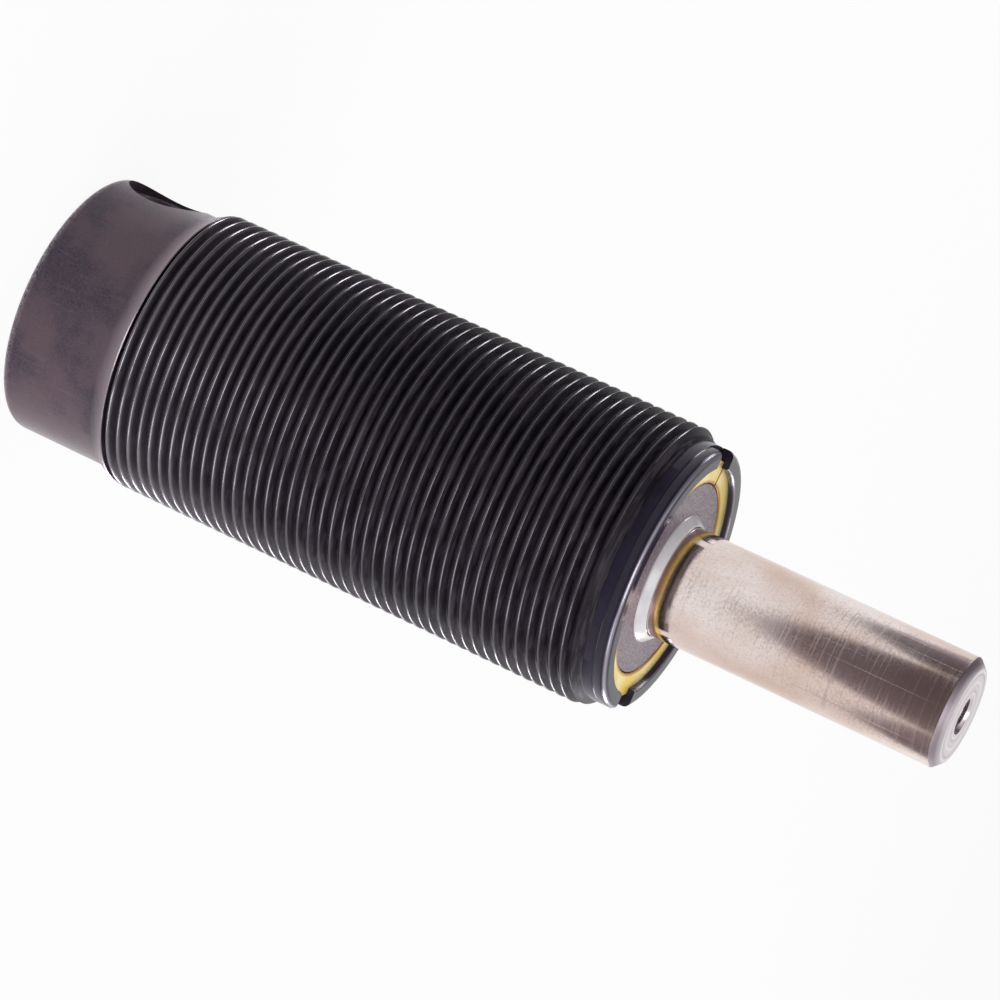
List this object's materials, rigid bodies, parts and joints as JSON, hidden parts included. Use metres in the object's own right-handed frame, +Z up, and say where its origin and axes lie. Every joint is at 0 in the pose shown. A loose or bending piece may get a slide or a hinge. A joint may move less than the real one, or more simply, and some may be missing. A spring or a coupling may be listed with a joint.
{
  "type": "nitrogen die spring",
  "caption": "Threaded nitrogen gas spring for press dies: a black steel cylinder with a fine outside thread, a polished rod that springs out, a gland kept by a split ring and a side port.",
  "frame": {"origin": "centre of the flat base that the spring stands on", "axes": "+Z up the axis towards the rod's tip; the charging port faces -X"},
  "size_m": [0.036, 0.036, 0.1225],
  "materials": {
    "black_oxide_steel": "black oxide, semi gloss, worn bright at the thread crests",
    "blasted_steel": "fine blasted grey",
    "yellow_zinc_steel": "yellow zinc plate",
    "pale_polyurethane": "smooth moulded",
    "plug_steel": "black oxide",
    "copper": "soft copper",
    "bronze": "turned",
    "seal_rubber": "moulded",
    "ptfe": "turned",
    "turned_steel": "turned",
    "brass": "turned",
    "spring_steel": "drawn wire",
    "polished_rod_steel": "ground and polished",
    "bronze_filled_ptfe": "turned"
  },
  "bodies": {
    "cylinder": {"cylinder_body": "black_oxide_steel", "guide_housing": "blasted_steel", "retaining_ring": "yellow_zinc_steel", "rod_wiper": "pale_polyurethane", "port_plug": "plug_steel", "port_plug_seal": "copper", "guide_bush": "bronze", "rod_seal": "seal_rubber", "rod_seal_backup": "ptfe", "seal_retainer": "turned_steel", "housing_o_ring": "seal_rubber", "housing_backup_ring": "ptfe", "valve_seat": "brass", "valve_seat_o_ring": "seal_rubber", "valve_retainer": "turned_steel", "valve_spring": "spring_steel"},
    "rod": {"piston_rod": "polished_rod_steel", "piston": "turned_steel", "piston_guide_ring": "bronze_filled_ptfe", "piston_keepers": "turned_steel", "keeper_ring": "spring_steel"},
    "valve": {"valve_poppet": "brass", "valve_poppet_seal": "seal_rubber"}
  },
  "joints": [
    {"name": "rod_stroke", "type": "slide", "parent": "cylinder", "child": "rod", "axis": [0, 0, -1], "range_m": [0, 0.038], "stiffness_N_per_m": 30000},
    {"name": "valve_lift", "type": "slide", "parent": "cylinder", "child": "valve", "axis": [0, 0, 1], "range_m": [0, 0.0008], "stiffness_N_per_m": 300, "deforming": ["valve_spring"]}
  ]
}
